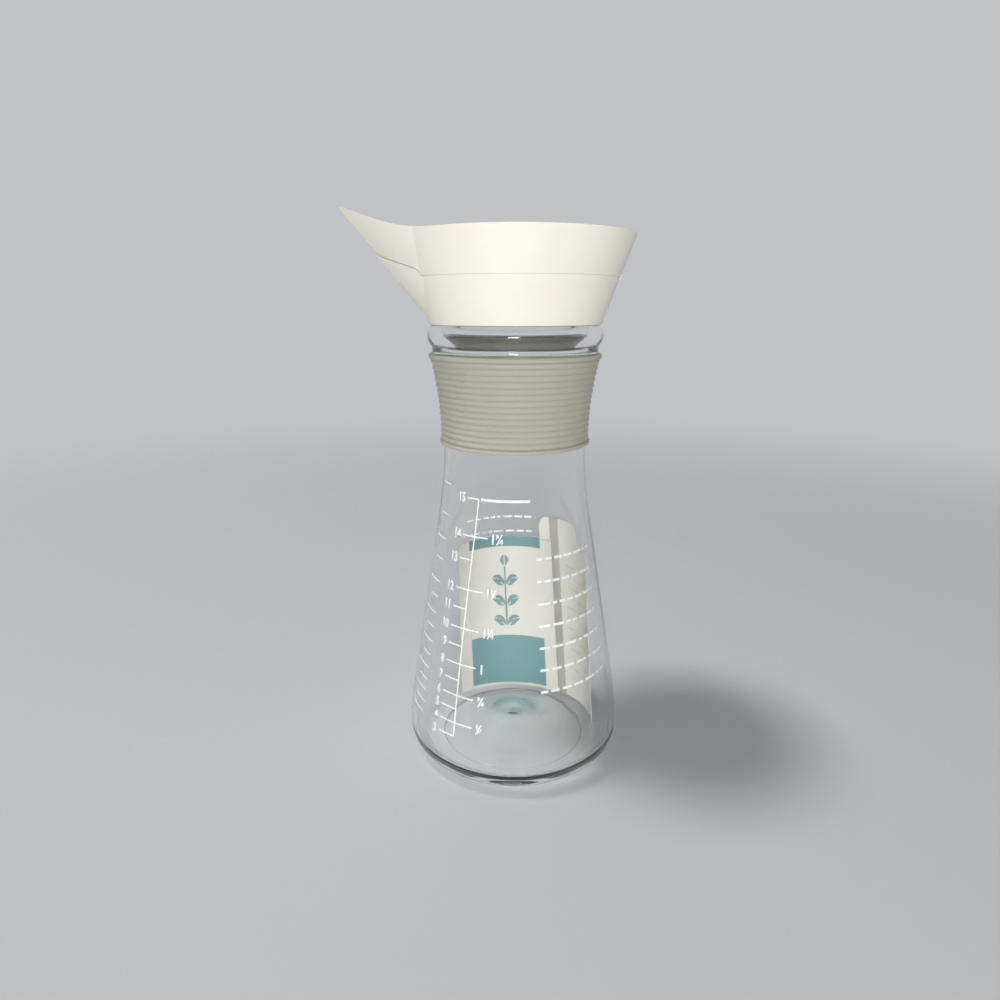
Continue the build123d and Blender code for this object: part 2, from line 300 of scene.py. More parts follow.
WHITE_PLASTIC = Finish(
    "white_moulded_plastic", linear(250, 247, 232), linear(248, 244, 228), pattern=(0.02, 3.0),
    edge=(0.3, 0.7), rough=(0.36, 0.44), relief=(0.0005, 0.000006),
    settings={"IOR": 1.5, "Subsurface_Weight": 0.08, "Subsurface_Scale": 0.002})
GRIP_SILICONE = Finish(
    "grey_grip_silicone", linear(173, 171, 157), linear(184, 182, 168), pattern=(0.0003, 2.0),
    edge=(0.35, 0.7), rough=(0.58, 0.72), wear=(0.009, 0.4), relief=(0.0003, 0.000012),
    settings={"IOR": 1.42, "Sheen_Weight": 0.1, "Sheen_Roughness": 0.5})
SEAL_SILICONE = Finish(
    "milky_seal_silicone", linear(214, 214, 208), linear(214, 214, 208), pattern=(0.004, 2.0),
    edge=(0.3, 0.7), rough=(0.42, 0.54), relief=(0.004, 0.00001),
    settings={"IOR": 1.42, "Subsurface_Weight": 0.2, "Subsurface_Scale": 0.001})
PRINT_INK = Finish(
    "white_screen_ink", linear(250, 250, 248), linear(228, 229, 228), pattern=(0.0009, 2.0),
    edge=(0.45, 0.7), rough=(0.45, 0.55), settings={"IOR": 1.45})


@dataclass(frozen=True)
class LeafletPaper:
    """Coated paper with a plain teal layout on the cover and faint rows on the back page.

    The UV map is in metres: along the paper, with the back page from its own start, and up it.
    """

    # Painted shade: white, back and teal are set darker than the paper's own colours, for the dimmer light
    # that reaches the leaflet inside the bottle.
    white: Colour = linear(201, 199, 191)
    back: Colour = linear(204, 202, 191)
    teal: Colour = linear(96, 136, 137)
    sprig_colour: Colour = linear(106, 134, 134)
    grey: Colour = linear(150, 146, 138)
    rough: Span = (0.5, 0.62)
    index: float = 1.45
    fibre_size: float = 0.0006
    fibre_depth: float = 0.000008
    layout: Span = (0.0066, 0.0445)
    panel: Span = (0.0016, 0.0275)
    strip_low: float = 0.0735
    edge: Span = (0.0062, 0.0065)
    edge_share: float = 0.4
    back_start: float = 0.06
    band: Span = (0.0652, 0.0700)
    band_share: float = 0.85
    row_start: float = 0.074
    row_levels: Span = (0.01, 0.07)
    row_step: float = 0.0052
    row_width: float = 0.0007
    row_share: float = 0.45
    word_size: float = 0.0025
    word_edge: Span = (0.42, 0.5)
    sprig_middle: float = 0.0256
    sprig_levels: Span = (0.0325, 0.0635)
    stem: float = 0.0004
    leaf_off: float = 0.0008
    leaf_step: float = 0.0105
    leaf_long: float = 0.0062
    leaf_wide: float = 0.0021
    leaf_turns_and_rises: tuple[Point, ...] = ((38.0, 0.0), (76.0, 0.003))
    vein: float = 0.00025

    def build(self) -> bpy.types.Material:
        """Make the material."""
        tree = ShaderTree.material("coated_leaflet_paper")
        paper = tree.node("ShaderNodeUVMap", {"uv_map": "paper"})
        along, up, _ = tree.split(paper.outputs[0])
        cover = along < self.back_start
        blocks = along.within(*self.layout) * (up.within(*self.panel) + (up > self.strip_low))
        lines = along.within(*self.band) * self.band_share + along.within(*self.edge) * self.edge_share
        words = tree.noise(self.word_size, detail=1.0).ramp(*self.word_edge)
        rows = (along > self.row_start) * (up % self.row_step < self.row_width)
        rows = rows * up.within(*self.row_levels) * words
        colour = tree.blend(cover, self.back, self.white)
        colour = tree.blend(blocks, colour, self.teal)
        colour = tree.blend(self.sprig(along, up), colour, self.sprig_colour)
        colour = tree.blend(lines, colour, self.grey)
        colour = tree.blend(rows * self.row_share, colour, self.grey)
        fibre = tree.noise(self.fibre_size, detail=3.0)
        return tree.finish(tree.surface(
            Base_Color=colour, Roughness=fibre.between(*self.rough), IOR=self.index,
            Normal=tree.bump(fibre, self.fibre_depth)))

    def leaf(self, across: Value, up: Value, turn: float) -> Value:
        """Pointed leaf from the origin along a direction, with a bare vein.

        Args:
            across: Distance to the side of the origin.
            up: Distance above it.
            turn: Direction from upright, in degrees.

        Returns:
            One on the leaf, zero elsewhere.
        """
        sine, cosine = math.sin(math.radians(turn)), math.cos(math.radians(turn))
        length = across * sine + up * cosine
        side = (across * cosine - up * sine).distance(0.0)
        reach = length / self.leaf_long
        edge = (reach - reach * reach) * (4 * self.leaf_wide)
        return (side < edge) * (side > self.vein) * (length > 0.0)

    def sprig(self, along: Value, up: Value) -> Value:
        """Upright sprig between the strip and the panel: a stem, pairs of leaves and one on top."""
        low, high = self.sprig_levels
        across = along.distance(self.sprig_middle)
        level = (up - low) % self.leaf_step
        shape = across < self.stem
        for turn, rise in self.leaf_turns_and_rises:
            shape = shape + self.leaf(across - self.leaf_off, level - rise, turn)
        return shape * up.within(low, high) + self.leaf(across, up - high, 0.0) > 0.5


@dataclass(frozen=True)
class Floor:
    """Plain pale paper sweep."""

    colour: Colour = linear(200, 201, 203)
    worn: Colour = linear(197, 198, 201)
    far_colour: Colour = linear(193, 194, 197)
    rough: float = 0.8
    cloud_size: float = 0.25
    fade: Span = (0.3, 1.0)

    def build(self) -> bpy.types.Material:
        """Make the material; the far part keeps one even tone, also in glass and gloss."""
        tree = ShaderTree.material("pale_studio_paper")
        cloud = tree.noise(self.cloud_size)
        paper = tree.surface(Base_Color=tree.blend(cloud, self.colour, self.worn), Roughness=self.rough)
        even = tree.node("ShaderNodeEmission", inputs={"Color": self.far_colour})
        far = tree.node("ShaderNodeVectorMath", {"operation": "LENGTH"}, {0: tree.place()})
        away = Value(tree, far.outputs["Value"]).ramp(*self.fade)
        return tree.finish(tree.mix(tree.seen() * away, paper, even))


class Bench:
    """Modelling steps with Blender's own tools, as by hand."""

    @staticmethod
    def deselect() -> None:
        """Leave edit mode and select nothing."""
        if bpy.context.mode != "OBJECT":
            bpy.ops.object.mode_set(mode="OBJECT")
        bpy.ops.object.select_all(action="DESELECT")

    @staticmethod
    def take(piece: bpy.types.Object) -> None:
        """Select one object only and make it the active one."""
        Bench.deselect()
        piece.select_set(True)
        bpy.context.view_layer.objects.active = piece

    @staticmethod
    def edit(piece: bpy.types.Object) -> None:
        """Open one object in edit mode, with all of its points selected."""
        Bench.take(piece)
        bpy.ops.object.mode_set(mode="EDIT")
        bpy.ops.mesh.select_mode(type="VERT")
        bpy.ops.mesh.select_all(action="SELECT")

    @staticmethod
    def extrude(move: Vector, times: int = 1) -> None:
        """Extrude what is selected by a move, once or more."""
        for _ in range(times):
            bpy.ops.mesh.extrude_region_move(TRANSFORM_OT_translate={"value": move})

    @staticmethod
    def chain(name: str, path: Sequence[Vector]) -> bpy.types.Object:
        """Start a mesh as a chain of edges.

        Args:
            name: The object's name.
            path: The chain's points.

        Returns:
            The object, in edit mode with all of it selected.
        """
        Bench.deselect()
        bpy.ops.mesh.primitive_plane_add(size=0.001, location=(0, 0, 0))
        piece = bpy.context.active_object
        piece.name = name
        piece.data.name = name
        Bench.edit(piece)
        bpy.ops.mesh.merge(type="CENTER")
        bpy.ops.transform.translate(value=path[0])
        for here, there in zip(path, path[1:]):
            Bench.extrude(there - here)
        bpy.ops.mesh.select_all(action="SELECT")
        return piece

    @staticmethod
    def merge(threshold: float = 1e-6) -> None:
        """Merge doubled points, in edit mode."""
        bpy.ops.mesh.select_all(action="SELECT")
        bpy.ops.mesh.remove_doubles(threshold=threshold)
        bpy.ops.mesh.select_all(action="SELECT")

    @staticmethod
    def seal() -> None:
        """Merge doubled points, turn all faces outwards and leave edit mode."""
        Bench.merge()
        bpy.ops.mesh.normals_make_consistent(inside=False)
        Bench.deselect()

    @staticmethod
    def spin(steps: int, turns: float = 1.0) -> None:
        """Turn what is selected about the bottle's axis, and seal it."""
        bpy.ops.mesh.spin(steps=steps, angle=2 * math.pi * turns, center=(0, 0, 0), axis=(0, 0, 1))
        Bench.seal()

    @staticmethod
    def lathe(name: str, outline: Sequence[Point], steps: int) -> bpy.types.Object:
        """Turn an outline of points (radius, height), its first one repeated at the end."""
        piece = Bench.chain(name, [Vector((radius, 0, height)) for radius, height in outline])
        Bench.spin(steps)
        return piece

    @staticmethod
    def smooth(piece: bpy.types.Object, degrees: float) -> None:
        """Shade smooth, apart from edges sharper than an angle."""
        Bench.take(piece)
        bpy.ops.object.shade_smooth_by_angle(angle=math.radians(degrees))

    @staticmethod
    def thicken(piece: bpy.types.Object, thickness: float, offset: float = 0.0) -> None:
        """Give a sheet its thickness: offset 0 for both sides, 1 for the outside."""
        Bench.take(piece)
        modifier = piece.modifiers.new("thickness", "SOLIDIFY")
        modifier.thickness = thickness
        modifier.offset = offset
        bpy.ops.object.modifier_apply(modifier=modifier.name)

    @staticmethod
    def join(name: str, parts: Sequence[bpy.types.Object]) -> bpy.types.Object:
        """Join several objects into one."""
        Bench.deselect()
        for part in parts:
            part.select_set(True)
        bpy.context.view_layer.objects.active = parts[0]
        if len(parts) > 1:
            bpy.ops.object.join()
        parts[0].name = name
        parts[0].data.name = name
        return parts[0]

    @staticmethod
    def dress(piece: bpy.types.Object, material: bpy.types.Material, body: Body, slot: Slot,
              *replaced: str) -> None:
        """Give a piece its finish, the body that it rides on and the nodes that it stands for.

        Args:
            piece: The finished piece.
            material: Its finish.
            body: The body that it moves with.
            slot: The record's slot of its finish; not used.
            replaced: Names of the nodes that it replaces.
        """
        piece.data.materials.clear()
        piece.data.materials.append(material)
        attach(piece, body.value)
        if replaced:
            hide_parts(*replaced)
        log.info("%s: %d faces on %s", piece.name, len(piece.data.polygons), body.value)


def arc(centre: Point, radius: float, start: float, end: float, steps: int) -> list[Point]:
    """Points of an arc about a centre (radius, height), from one direction in radians to another."""
    turns = [start + (end - start) * index / steps for index in range(steps + 1)]
    return [(centre[0] + radius * math.cos(turn), centre[1] + radius * math.sin(turn)) for turn in turns]


def lens(start: Point, end: Point, swell: float, steps: int) -> list[Point]:
    """Points of a shallow arc between two points that swells to its right by a height."""
    across = Vector(end) - Vector(start)
    side = Vector((across.y, -across.x)).normalized()
    points = []
    for index in range(steps + 1):
        share = index / steps
        points.append(tuple(Vector(start) + across * share + side * swell * 4 * share * (1 - share)))
    return points


def swing(start: Point, end: Point, steps: int) -> list[Point]:
    """Smooth rise from one level to another, level at both ends."""
    shares = [index / steps for index in range(steps + 1)]
    return [(start[0] + (end[0] - start[0]) * share,
             start[1] + (end[1] - start[1]) * share * share * (3 - 2 * share)) for share in shares]


@dataclass
class Bottle:
    """Clear bottle: foot ring, full belly, straight leaning side, slim waist, bead and neck."""

    body_radius: float = min(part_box("bottle")[1][:2])
    neck_top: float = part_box("bottle")[1].z
    heel: float = 0.0112
    belly_bend: float = 0.084
    waist_radius: float = 0.0284
    waist_height: float = 0.138
    waist_bend: float = 0.188
    flare_radius: float = 0.0326
    flare_height: float = 0.1704
    groove: float = 0.0026
    bead_swell: float = 0.0017
    bead_height: float = 0.008
    bead_hollow: float = 0.0004
    neck_radius: float = 0.0294
    bore_radius: float = 0.0274
    rim_ease: float = 0.0006
    wall: float = 0.0023
    floor: float = 0.006
    punt_radius: float = 0.0275
    punt_rise: float = 0.0052
    nub_radius: float = 0.009
    nub_rise: float = 0.0016
    nub_swell: float = 0.0003
    foot_band: float = 0.0035
    foot_ease: float = 0.0004
    under_rise: float = 0.0007
    under_dome: float = 0.0042
    steps: int = 144
    doubled: float = 2e-5
    sharp: float = 40.0

    @property
    def groove_top(self) -> float:
        """Height where the bead starts."""
        return self.flare_height + self.groove

    @property
    def bead_top(self) -> float:
        """Height where the bead ends and the neck starts."""
        return self.groove_top + self.bead_height

    @property
    def flare_bend(self) -> float:
        """Bending radius of the wall from the waist up to the groove."""
        rise = self.flare_height - self.waist_height
        growth = self.flare_radius - self.waist_radius
        return (rise ** 2 + growth ** 2) / (2 * growth)

    def side(self, inset: float, steps: int = 12) -> list[Point]:
        """Outline from the heel to the waist, moved in by a wall; its straight part touches both bends."""
        across = self.waist_radius + self.waist_bend - self.body_radius + self.belly_bend
        rise = self.waist_height - self.heel
        bends = self.belly_bend + self.waist_bend
        lean = math.atan2(rise, across) - math.acos(bends / math.hypot(across, rise))
        belly = arc((self.body_radius - self.belly_bend, self.heel), self.belly_bend - inset, 0, lean, steps)
        waist = arc((self.waist_radius + self.waist_bend, self.waist_height), self.waist_bend + inset,
                    math.pi + lean, math.pi, steps)
        return belly + waist

    def heel_arc(self, steps: int) -> list[Point]:
        """Outside of the heel, from the foot up to the belly."""
        return arc((self.body_radius - self.heel, self.heel), self.heel, -math.pi / 2, 0, steps)

    def radius_at(self, height: float) -> float:
        """Outside radius at a height between the foot and the waist."""
        outline = self.heel_arc(24) + self.side(0.0, 24)
        for low, high in zip(outline, outline[1:]):
            if low[1] <= height <= high[1] and high[1] > low[1]:
                return low[0] + (high[0] - low[0]) * (height - low[1]) / (high[1] - low[1])
        return self.waist_radius

    def outside(self) -> list[Point]:
        """Outline from the foot up the outside and over the rim."""
        bend, ease = self.flare_bend, self.rim_ease
        turn = math.asin((self.flare_height - self.waist_height) / bend)
        groove = (self.flare_radius, self.groove_top)
        points = self.heel_arc(16) + self.side(0.0)
        points += arc((self.waist_radius + bend, self.waist_height), bend, math.pi, math.pi - turn, 12)
        points += [groove] + lens(groove, (self.flare_radius, self.bead_top), self.bead_swell, 14)
        points += arc((self.neck_radius + ease, self.bead_top + ease), ease, -math.pi / 2, -math.pi, 4)
        points += arc((self.neck_radius - ease, self.neck_top - ease), ease, 0, math.pi / 2, 4)
        return points + arc((self.bore_radius + ease, self.neck_top - ease), ease, math.pi / 2, math.pi, 4)

    def inside(self) -> list[Point]:
        """Outline from the neck down the inside and over the floor's punt and nub."""
        bend = self.flare_bend
        turn = math.asin((self.flare_height - self.waist_height) / bend)
        inner_heel = self.heel - self.floor
        floor_end = self.body_radius - self.wall - inner_heel
        crown = self.floor + self.punt_rise
        points = lens((self.bore_radius, self.bead_top), (self.flare_radius - self.wall, self.groove_top),
                      -self.bead_hollow, 6)
        points += arc((self.waist_radius - self.wall + bend, self.waist_height), bend,
                      math.pi - turn, math.pi, 12)
        points += list(reversed(self.side(self.wall)))
        points += arc((floor_end, self.heel), inner_heel, 0, -math.pi / 2, 8)
        points += swing((self.punt_radius, self.floor), (self.nub_radius, crown), 12)
        return points + lens((self.nub_radius, crown), (0.0, crown + self.nub_rise), -self.nub_swell, 6)

    def under(self) -> list[Point]:
        """Outline of the underside, from the axis out to the foot ring."""
        inner = self.body_radius - self.heel - self.foot_band
        ease = self.foot_ease
        dome = swing((inner - self.under_rise, self.under_rise),
                     (0.0, self.under_rise + self.under_dome), 12)
        return list(reversed(dome)) + arc((inner + ease, ease), ease, math.pi, math.pi * 1.5, 3)

    def build(self) -> bpy.types.Object:
        """Turn the closed outline, without its doubled points."""
        loop = self.outside() + self.inside() + self.under()
        kept = []
        for point in loop + loop[:1]:
            if not kept or math.dist(point, kept[-1]) > self.doubled:
                kept.append(point)
        piece = Bench.lathe("clear_bottle", kept, self.steps)
        Bench.smooth(piece, self.sharp)
        return piece


@dataclass
class NeckThread:
    """Level ridge round the neck, in the place of its thread."""

    bottle: Bottle
    turns: float = 1.25
    ridge: float = 0.0006
    root: float = 0.00005
    width: float = 0.0014
    start_above: float = 0.0022
    steps: int = 90

    def build(self) -> bpy.types.Object:
        """Turn a tapered section round the neck."""
        low = self.bottle.bead_top + self.start_above
        radius = self.bottle.neck_radius
        section = [(-self.root, -self.width / 2), (self.ridge, -self.width / 4),
                   (self.ridge, self.width / 4), (-self.root, self.width / 2)]
        path = [Vector((radius + out, 0, low + up)) for out, up in section + section[:1]]
        piece = Bench.chain("neck_thread", path)
        Bench.merge()
        bpy.ops.mesh.edge_face_add()
        Bench.spin(self.steps, self.turns)
        return piece


@dataclass
class GripSleeve:
    """Stretchy sleeve with a rounded rib at every step and a thicker lip at each end."""

    bottle: Bottle
    drop: float = 0.0029
    fit: float = 0.0001
    skin: float = 0.0013
    ribs: int = 14
    depth: float = 0.00058
    fullness: float = 0.9
    lip: float = 0.0015
    bottom_lip: float = 0.0018
    lip_ease: float = 0.0005
    bead: float = 0.00105
    bead_proud: float = 0.0014
    bead_start: float = -math.pi / 2.4
    rib_points: int = 12
    inner_steps: int = 16
    steps: int = 144
    sharp: float = 50.0

    def radius(self, height: float) -> float:
        """Outside radius of the bottle under the sleeve."""
        bend = self.bottle.flare_bend
        above = max(height - self.bottle.waist_height, 0.0)
        return self.bottle.waist_radius + bend - math.sqrt(bend ** 2 - above ** 2)

    def build(self) -> bpy.types.Object:
        """Turn the ribbed outline."""
        low = self.bottle.waist_height - self.drop
        high = self.bottle.flare_height - self.fit
        first = low + self.lip
        pitch = (high - 2 * self.bead - first) / self.ribs
        ease = self.lip_ease
        edge = self.bottle.waist_radius + self.bottom_lip - ease
        outline = arc((edge, low + ease), ease, -math.pi / 2, 0, 4)
        outline += arc((edge, first - ease), ease, 0, math.pi / 3, 3)
        for index in range(self.ribs * self.rib_points + 1):
            height = first + pitch * index / self.rib_points
            share = (index % self.rib_points) / self.rib_points
            swell = max(math.sin(math.pi * share), 0.0) ** self.fullness
            outline.append((self.radius(height) + self.skin - self.depth * (1 - swell), height))
        top = self.radius(high) + self.bead_proud
        outline += arc((top - self.bead, high - self.bead), self.bead, self.bead_start, math.pi / 2, 12)
        for index in range(self.inner_steps + 1):
            height = high - (high - low) * index / self.inner_steps
            outline.append((self.radius(height) + self.fit, height))
        piece = Bench.lathe("ribbed_grip_sleeve", outline + outline[:1], self.steps)
        Bench.smooth(piece, self.sharp)
        return piece


@dataclass
class VolumePrint:
    """White print on the bottle: ounce scale with cup figures, metric ticks and plain rows.

    Turns are angles about the axis in degrees, from the camera's side towards the spout.
    """

    bottle: Bottle
    lift: float = 0.00002
    ink: float = 0.00005
    doubled: float = 2e-6
    line: float = 0.00052
    figure_size: float = 0.0050
    figure_narrow: float = 0.76
    figure_weight: float = 0.00022
    figure_gap: float = 2.2
    figure_steps: int = 4
    spine_turns: Span = (33.0, 28.0)
    spine_lean: float = 2.2
    spine_steps: int = 40
    tick_turn: float = 10.0
    first_mark: int = 3
    mark_heights: tuple[float, ...] = (0.0229, 0.0285, 0.0342, 0.0397, 0.0459, 0.0525, 0.0597,
                                       0.0669, 0.0747, 0.0823, 0.094, 0.1031, 0.1175)
    cups: tuple[str, ...] = ("\u00bd", "\u00be", "1", "1\u00bc", "1\u00bd", "1\u00be")
    ounce: float = 29.57
    metric_volumes: range = range(450, 99, -25)
    metric_turn: float = 58.5
    metric_lengths: Span = (16.0, 10.5)
    fill_turns: Span = (26.0, -10.5)
    front_turns: Span = (-14.0, -62.0)
    front_heights: tuple[float, ...] = tuple(0.0955 - 0.0086 * row for row in range(7))
    rear_turns: Span = (196.0, 134.0)
    rear_heights: tuple[float, ...] = (0.0935, 0.086)
    dash: float = 0.001
    dash_turn: float = 3.0
    dash_kinds: int = 6
    dash_shift: int = 7
    row_shift: int = 5
    dash_least: float = 1.5
    dash_gap: float = 1.8

    def spine_turn(self, height: float) -> float:
        """Where the scale's upright line lies at a height."""
        low, high = self.mark_heights[0], self.mark_heights[-1]
        share = min(max((height - low) / (high - low), 0.0), 1.0)
        below, above = self.spine_turns
        return below + (above - below) * share ** self.spine_lean

    def mark_height(self, ounces: float) -> float:
        """Height of a volume on the scale, between or just above its marks."""
        place = min(max(ounces - self.first_mark, 0.0), len(self.mark_heights) - 1.0)
        index = min(int(place), len(self.mark_heights) - 2)
        over = ounces - self.first_mark - index
        return self.mark_heights[index] + over * (self.mark_heights[index + 1] - self.mark_heights[index])

    def spot(self, turn: float, across: float, height: float) -> Vector:
        """Place on the bottle beside a turn, by a length across."""
        radius = self.bottle.radius_at(height) + self.lift
        angle = math.radians(turn) - across / radius
        return Vector((-radius * math.sin(angle), -radius * math.cos(angle), height))

    def wrap(self, piece: bpy.types.Object, turn: float, height: float) -> bpy.types.Object:
        """Lay a flat shape, drawn in X and Y, on the bottle at a turn and a height."""
        for vertex in piece.data.vertices:
            vertex.co = self.spot(turn, vertex.co.x, height + vertex.co.y)
        return piece

    @staticmethod
    def grid(columns: int, rows: int) -> bpy.types.Object:
        """Flat unit square of faces in columns and rows."""
        Bench.deselect()
        bpy.ops.mesh.primitive_grid_add(x_subdivisions=columns, y_subdivisions=rows, size=1.0)
        return bpy.context.active_object

    def bar(self, turns: Span, height: float, width: float) -> bpy.types.Object:
        """Level printed line from one turn to another."""
        length = math.radians(turns[0] - turns[1]) * self.bottle.radius_at(height)
        piece = self.grid(max(2, int(abs(turns[0] - turns[1]))), 1)
        for vertex in piece.data.vertices:
            vertex.co = Vector(((vertex.co.x + 0.5) * length, vertex.co.y * width, 0))
        return self.wrap(piece, turns[0], height)

    def figure(self, words: str, turn: float, height: float, align: str) -> bpy.types.Object:
        """Bold, narrow figure on the bottle.

        Args:
            words: Its text.
            turn: Where its aligned edge lies.
            height: Height of its middle.
            align: LEFT or RIGHT.

        Returns:
            The figure's mesh.
        """
        Bench.deselect()
        bpy.ops.object.text_add(location=(0, 0, 0))
        piece = bpy.context.active_object
        piece.data.body = words
        piece.data.size = self.figure_size
        piece.data.align_x = align
        piece.data.offset = self.figure_weight
        piece.data.resolution_u = self.figure_steps
        bpy.ops.object.convert(target="MESH")
        piece = bpy.context.active_object
        middle = 0.5 * max(vertex.co.y for vertex in piece.data.vertices)
        for vertex in piece.data.vertices:
            vertex.co = Vector((vertex.co.x * self.figure_narrow, vertex.co.y - middle, 0))
        return self.wrap(piece, turn, height)

    def spine(self) -> bpy.types.Object:
        """Upright line of the ounce scale."""
        low, high = self.mark_heights[0], self.mark_heights[-1]
        piece = self.grid(1, self.spine_steps)
        for vertex in piece.data.vertices:
            height = low + (high - low) * (vertex.co.y + 0.5)
            vertex.co = self.spot(self.spine_turn(height), vertex.co.x * self.line, height)
        return piece

    def ink_on(self, name: str, parts: Sequence[bpy.types.Object]) -> bpy.types.Object:
        """Join flat parts, turn their faces outwards and give them the ink's thickness."""
        piece = Bench.join(name, parts)
        Bench.edit(piece)
        Bench.merge(self.doubled)
        bpy.ops.mesh.select_mode(type="FACE")
        bpy.ops.mesh.select_all(action="DESELECT")
        bpy.ops.object.mode_set(mode="OBJECT")
        for face in piece.data.polygons:
            face.select = face.normal.x * face.center.x + face.normal.y * face.center.y < 0
        bpy.ops.object.mode_set(mode="EDIT")
        bpy.ops.mesh.flip_normals()
        Bench.thicken(piece, self.ink, 1.0)
        return piece

    def ounces(self) -> bpy.types.Object:
        """Ounce scale with its figures and the cup figures beside every other mark."""
        parts = [self.spine()]
        for index, height in enumerate(self.mark_heights):
            turn = self.spine_turn(height)
            left = turn + self.tick_turn
            paired = index % 2 == 1
            right = turn - self.tick_turn if paired else turn
            parts.append(self.bar((left, right), height, self.line))
            parts.append(self.figure(str(self.first_mark + index), left + self.figure_gap, height, "RIGHT"))
            if paired:
                parts.append(self.figure(self.cups[index // 2], right - self.figure_gap, height, "LEFT"))
        return self.ink_on("printed_ounce_scale", parts)

    def metric(self) -> bpy.types.Object:
        """Ticks of the metric scale, long at every other one."""
        parts = []
        for index, volume in enumerate(self.metric_volumes):
            turns = (self.metric_turn + self.metric_lengths[index % 2], self.metric_turn)
            parts.append(self.bar(turns, self.mark_height(volume / self.ounce), self.line))
        return self.ink_on("printed_metric_ticks", parts)

    def rows(self, name: str, turns: Span, heights: Sequence[float], seed: int) -> bpy.types.Object:
        """Plain dashes in rows where the bottle carries small print.

        Args:
            name: The piece's name.
            turns: Where the rows start and where they have to end.
            heights: Height of each row.
            seed: Varies the lengths of the dashes.

        Returns:
            The joined rows.
        """
        parts = []
        for row, height in enumerate(heights):
            turn = turns[0]
            index = 0
            while turn > turns[1]:
                shift = row * self.row_shift + index * self.dash_shift + seed
                length = self.dash_turn + shift % self.dash_kinds
                stop = max(turn - length, turns[1])
                if turn - stop > self.dash_least:
                    parts.append(self.bar((turn, stop), height, self.dash))
                turn = stop - self.dash_gap
                index += 1
        return self.ink_on(name, parts)

    def build(self) -> list[bpy.types.Object]:
        """All printed pieces."""
        fill = self.ink_on("printed_fill_line", [self.bar(self.fill_turns, self.mark_heights[-1], self.dash)])
        front = self.rows("printed_front_rows", self.front_turns, self.front_heights, seed=1)
        rear = self.rows("printed_rear_rows", self.rear_turns, self.rear_heights, seed=3)
        return [self.ounces(), self.metric(), fill, front, rear]


@dataclass
class Sheet:
    """One curled page: three plan points at its foot, three at its head, and its height."""

    name: str
    foot: tuple[Point, Point, Point]
    head: tuple[Point, Point, Point]
    height: float
    map_start: float = 0.0
    step_share: float = 1.0
    step_height: float = 0.0
    corner: float = 0.0001


@dataclass
class Leaflet:
    """Folded leaflet that stands in the bottle: a cover and a taller, stepped back page."""

    floor: float
    cover: Sheet = field(default_factory=lambda: Sheet(
        "leaflet_cover", foot=((-0.0247, 0.0232), (0.0006, 0.0307), (0.0233, 0.0232)),
        head=((-0.0245, 0.0164), (0.0003, 0.0292), (0.0178, 0.0218)), height=0.0783))
    back: Sheet = field(default_factory=lambda: Sheet(
        "leaflet_back", foot=((0.0186, 0.0270), (0.0312, 0.0172), (0.0358, -0.002)),
        head=((0.0120, 0.0262), (0.0228, 0.0193), (0.0298, -0.002)), height=0.0893,
        map_start=0.06, step_share=0.62, step_height=0.0795, corner=0.0045))
    paper: float = 0.00025
    columns: int = 48
    rows: int = 24
    sharp: float = 30.0

    def plan(self, points: Sequence[Point]) -> list[Vector]:
        """Points spaced evenly on the circle through three plan points."""
        corners = [Vector(point) for point in points]
        first, middle, last = corners
        double = 2 * (first.x * (middle.y - last.y) + middle.x * (last.y - first.y)
                      + last.x * (first.y - middle.y))
        near, half, far = (point.length_squared for point in corners)
        centre = Vector((
            (near * (middle.y - last.y) + half * (last.y - first.y) + far * (first.y - middle.y)) / double,
            (near * (last.x - middle.x) + half * (first.x - last.x) + far * (middle.x - first.x)) / double))
        radius = (first - centre).length
        start = math.atan2(*reversed(first - centre))
        sweep = (math.atan2(*reversed(last - centre)) - start + math.pi) % (2 * math.pi) - math.pi
        turns = [start + sweep * index / self.columns for index in range(self.columns + 1)]
        return [centre + Vector((math.cos(turn), math.sin(turn))) * radius for turn in turns]

    def top(self, sheet: Sheet, share: float, length: float) -> float:
        """Height of a sheet's upper edge.

        Args:
            sheet: The sheet.
            share: Share of its length from its start.
            length: Its length.

        Returns:
            The height above its foot, with the corners rounded.
        """
        tall = share <= sheet.step_share
        height = sheet.height if tall else sheet.step_height
        near = ((sheet.step_share if tall else 1.0) - share) * length
        if tall:
            near = min(near, share * length)
        if near >= sheet.corner:
            return height
        return height - sheet.corner + math.sqrt(max(sheet.corner ** 2 - (sheet.corner - near) ** 2, 0.0))

    def page(self, sheet: Sheet) -> bpy.types.Object:
        """Build one sheet with a UV map in metres along and up the paper."""
        foot, head = self.plan(sheet.foot), self.plan(sheet.head)
        length = (foot[1] - foot[0]).length * self.columns
        piece = Bench.chain(sheet.name, [Vector((point.x, point.y, 0)) for point in foot])
        Bench.extrude(Vector((0, 0, 1.0)), self.rows)
        Bench.deselect()
        flat = {}
        for vertex in piece.data.vertices:
            index = min(range(len(foot)), key=lambda near: (foot[near] - vertex.co.xy).length_squared)
            share = index / self.columns
            height = self.top(sheet, share, length) * vertex.co.z / self.rows
            flat[vertex.index] = (share * length + sheet.map_start, height)
            place = foot[index].lerp(head[index], height / sheet.height)
            vertex.co = Vector((place.x, place.y, self.floor + height + self.paper))
        layer = piece.data.uv_layers.new(name="paper")
        for loop in piece.data.loops:
            layer.data[loop.index].uv = flat[loop.vertex_index]
        Bench.thicken(piece, self.paper)
        return piece

    def build(self) -> bpy.types.Object:
        """Build both pages and join them."""
        piece = Bench.join("folded_leaflet", [self.page(self.cover), self.page(self.back)])
        Bench.smooth(piece, self.sharp)
        return piece


